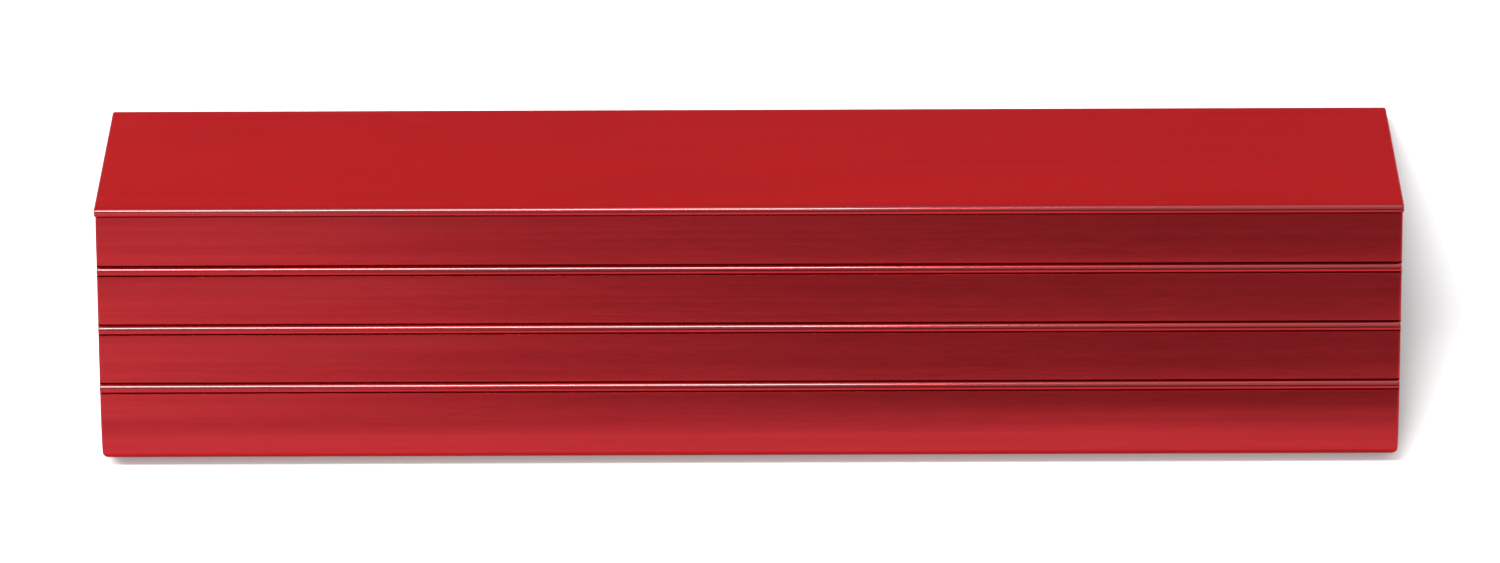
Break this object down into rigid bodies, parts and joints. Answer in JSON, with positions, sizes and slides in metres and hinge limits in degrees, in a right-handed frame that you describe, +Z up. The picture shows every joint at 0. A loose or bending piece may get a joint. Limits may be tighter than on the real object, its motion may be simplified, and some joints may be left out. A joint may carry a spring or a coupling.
{
  "type": "ski edge file guide",
  "caption": "Hand-held ski edge file guide: a ribbed aluminium angle that runs on the ski base and clamps a file behind its wall at 88 degrees.",
  "frame": {"origin": "centre of the bounding box at the bench the tool lies on", "axes": "+X along the tool, +Z up with the tool lying on its two free edges and its outer corner upward, the ribbed wall facing -Y"},
  "size_m": [0.15, 0.0448, 0.0276],
  "materials": {
    "red_anodised": "satin red anodised extrusion, brushed along its length",
    "shim_plastic": "black nylon",
    "file_steel": "hardened steel with single-cut teeth",
    "jaw_anodised": "satin black anodised",
    "pad_rubber": "nitrile rubber",
    "screw_steel": "black oxide steel",
    "washer_steel": "zinc plated",
    "ring_steel": "blued spring steel",
    "insert_brass": "plain turned",
    "pin_steel": "ground",
    "strip_steel": "ground stainless, polished by use",
    "small_screws": "stainless",
    "stop_plastic": "black acetal"
  },
  "bodies": {
    "guide": {"guide_body": "red_anodised", "angle_shim": "shim_plastic", "edge_file": "file_steel", "thread_insert_left": "insert_brass", "guide_pin_left": "pin_steel", "thread_insert_right": "insert_brass", "guide_pin_right": "pin_steel", "wear_strip_front": "strip_steel", "wear_strip_rear": "strip_steel", "wear_strip_screws": "small_screws", "file_stop_left": "stop_plastic", "file_stop_right": "stop_plastic", "file_stop_screws": "small_screws"},
    "jaw": {"clamp_jaw": "jaw_anodised", "jaw_pad": "pad_rubber", "screw_washer_left": "washer_steel", "screw_washer_right": "washer_steel"},
    "left_screw": {"clamp_screw_left": "screw_steel", "retaining_ring_left": "ring_steel"},
    "right_screw": {"clamp_screw_right": "screw_steel", "retaining_ring_right": "ring_steel"}
  },
  "joints": [
    {"name": "jaw_slide", "type": "slide", "parent": "guide", "child": "jaw", "axis": [0, 0.716, -0.6981], "range_m": [0, 0.0012]},
    {"name": "left_screw_turn", "type": "hinge", "parent": "jaw", "child": "left_screw", "pos_m": [-0.042, -0.00958, 0.00535], "axis": [0, 0.716, -0.6981], "range_deg": [0, 865]},
    {"name": "right_screw_turn", "type": "hinge", "parent": "jaw", "child": "right_screw", "pos_m": [0.042, -0.00958, 0.00535], "axis": [0, 0.716, -0.6981], "range_deg": [0, 865]}
  ],
  "couplings": [
    {"joint": "left_screw_turn", "follows": "jaw_slide", "rad_per_m": 12566},
    {"joint": "right_screw_turn", "follows": "jaw_slide", "rad_per_m": 12566}
  ]
}
